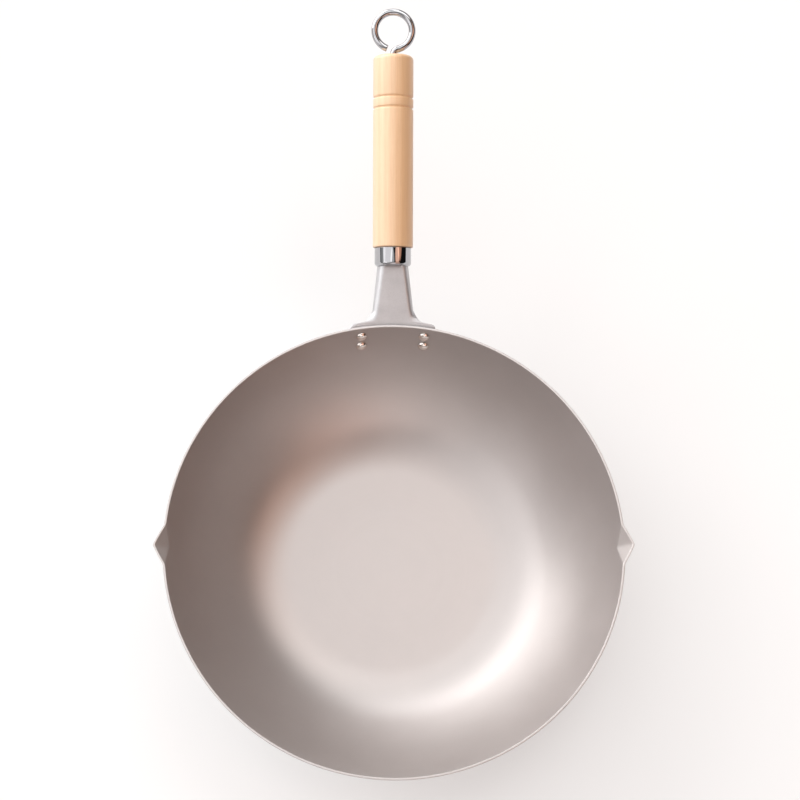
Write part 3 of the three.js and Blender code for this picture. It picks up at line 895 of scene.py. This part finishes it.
def make_floor():
    """Pale floor that keeps the shadow and shows as white to the camera and in the metal."""
    corners = [(-1, -1), (1, -1), (1, 1), (-1, 1)]
    points = [Vector((x * FLOOR_HALF, y * FLOOR_HALF, -FLOOR_DROP)) for x, y in corners]
    floor = mesh_object("floor", points, [(0, 1, 2, 3)])
    material = bpy.data.materials.new("floor_white")
    material.use_nodes = True
    tree = material.node_tree
    nodes = tree.nodes
    links = tree.links
    shader = nodes["Principled BSDF"]
    shader.inputs["Roughness"].default_value = FLOOR_ROUGHNESS
    shader.inputs["Specular IOR Level"].default_value = 0.0
    shader.inputs["Base Color"].default_value = FLOOR_COLOUR
    rays = nodes.new("ShaderNodeLightPath").outputs
    mirrored = math_step(tree, "MAXIMUM", rays["Is Glossy Ray"], rays["Is Transmission Ray"])
    shown = math_step(tree, "MAXIMUM", rays["Is Camera Ray"], mirrored)
    glow = nodes.new("ShaderNodeMath")
    glow.operation = "MULTIPLY"
    glow.inputs[1].default_value = FLOOR_GLOW
    links.new(shown, glow.inputs[0])
    shader.inputs["Emission Color"].default_value = (1, 1, 1, 1)
    links.new(glow.outputs["Value"], shader.inputs["Emission Strength"])
    floor.data.materials.append(material)


def make_world():
    """Studio light as soft bright areas on a dim surround, with a white backdrop behind the floor."""
    world = bpy.data.worlds.new("studio")
    bpy.context.scene.world = world
    world.use_nodes = True
    tree = world.node_tree
    nodes = tree.nodes
    links = tree.links
    direction = nodes.new("ShaderNodeTexCoord").outputs["Generated"]
    total = None
    for azimuth, elevation, radius, colour in LIGHTS:
        spin = math.radians(azimuth)
        lift = math.radians(elevation)
        axis = (math.cos(lift) * math.cos(spin), math.cos(lift) * math.sin(spin), math.sin(lift))
        dot = nodes.new("ShaderNodeVectorMath")
        dot.operation = "DOT_PRODUCT"
        links.new(direction, dot.inputs[0])
        dot.inputs[1].default_value = axis
        fade = nodes.new("ShaderNodeMapRange")
        fade.interpolation_type = "SMOOTHSTEP"
        fade.inputs["From Min"].default_value = math.cos(math.radians(radius + LIGHT_EDGE))
        fade.inputs["From Max"].default_value = math.cos(math.radians(radius - LIGHT_EDGE))
        links.new(dot.outputs["Value"], fade.inputs["Value"])
        tint = nodes.new("ShaderNodeVectorMath")
        tint.operation = "SCALE"
        tint.inputs[0].default_value = colour
        links.new(fade.outputs["Result"], tint.inputs["Scale"])
        add = nodes.new("ShaderNodeVectorMath")
        add.operation = "ADD"
        links.new(tint.outputs["Vector"], add.inputs[0])
        if total is None:
            add.inputs[1].default_value = SURROUND
        else:
            links.new(total, add.inputs[1])
        total = add.outputs["Vector"]
    height = nodes.new("ShaderNodeSeparateXYZ")
    links.new(direction, height.inputs["Vector"])
    low = nodes.new("ShaderNodeMapRange")
    low.inputs["From Min"].default_value = BACKDROP_END
    low.inputs["From Max"].default_value = BACKDROP_FULL
    links.new(height.outputs["Z"], low.inputs["Value"])
    rays = nodes.new("ShaderNodeLightPath").outputs
    mirrored = math_step(tree, "MAXIMUM", rays["Is Glossy Ray"], rays["Is Transmission Ray"])
    near_floor = math_step(tree, "MULTIPLY", mirrored, low.outputs["Result"])
    shown = math_step(tree, "MAXIMUM", rays["Is Camera Ray"], near_floor)
    backdrop = nodes.new("ShaderNodeVectorMath")
    backdrop.operation = "MAXIMUM"
    links.new(total, backdrop.inputs[0])
    links.new(shown, backdrop.inputs[1])
    links.new(backdrop.outputs["Vector"], nodes["Background"].inputs["Color"])


def make_camera():
    lens = bpy.data.cameras.new("camera")
    lens.lens = CAMERA_LENS
    lens.sensor_width = CAMERA_SENSOR
    camera = bpy.data.objects.new("camera", lens)
    camera.location = CAMERA_PLACE
    camera.rotation_euler = [math.radians(turn) for turn in CAMERA_TURN]
    bpy.context.scene.collection.objects.link(camera)
    bpy.context.scene.camera = camera


make_floor()
make_world()
make_camera()
bpy.context.scene.view_settings.view_transform = "Standard"
